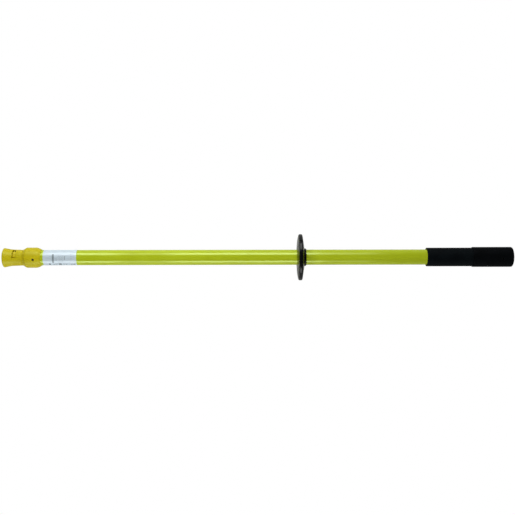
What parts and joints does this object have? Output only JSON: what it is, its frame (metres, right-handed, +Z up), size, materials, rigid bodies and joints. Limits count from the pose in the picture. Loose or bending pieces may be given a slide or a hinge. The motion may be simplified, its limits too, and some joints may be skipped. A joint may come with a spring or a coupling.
{
  "type": "insulating operating stick",
  "caption": "Rigid glass-fibre operating stick with a latching plug-in coupling, a round hand guard, a grip sleeve and an end cap.",
  "frame": {"origin": "on the tube's axis, at the middle of the stick's length", "axes": "+X along the stick from the coupling to the end cap; the latch's thumb pad faces 32 degrees from +Z towards +Y; the stick lies on its side with +Z up"},
  "size_m": [1, 0.0908, 0.0908],
  "materials": {
    "coupling_polyamide": "moulded, fine matt grain",
    "latch_polyamide": "moulded, satin",
    "spring_steel": "rolled strip",
    "pin_steel": "plain",
    "plug_polyamide": "moulded",
    "seal_rubber": "matt",
    "tube_glass_fibre": "pultruded, gloss",
    "foam_polyurethane": "closed-cell foam",
    "label_film": "silver film with a clear layer",
    "guard_pvc": "moulded, satin",
    "grip_rubber": "moulded, satin",
    "end_cap_rubber": "moulded, satin"
  },
  "bodies": {
    "stick": {"coupling_body": "coupling_polyamide", "latch_spring": "spring_steel", "latch_keeper_pin": "pin_steel", "coupling_pin": "pin_steel", "front_plug": "plug_polyamide", "front_plug_seal": "seal_rubber", "tube": "tube_glass_fibre", "foam_core": "foam_polyurethane", "rating_label": "label_film", "hand_guard": "guard_pvc", "guard_lock_ring": "seal_rubber", "grip_sleeve": "grip_rubber", "end_cap": "end_cap_rubber", "end_cap_pin": "pin_steel", "rear_plug": "plug_polyamide", "rear_plug_seal": "seal_rubber"},
    "latch": {"latch_plate": "latch_polyamide"}
  },
  "joints": [
    {"name": "latch_press", "type": "slide", "parent": "stick", "child": "latch", "axis": [0, -0.5299, -0.848], "range_m": [0, 0.002], "stiffness_N_per_m": 900, "springref_m": -0.004, "deforming": ["latch_spring"]}
  ]
}
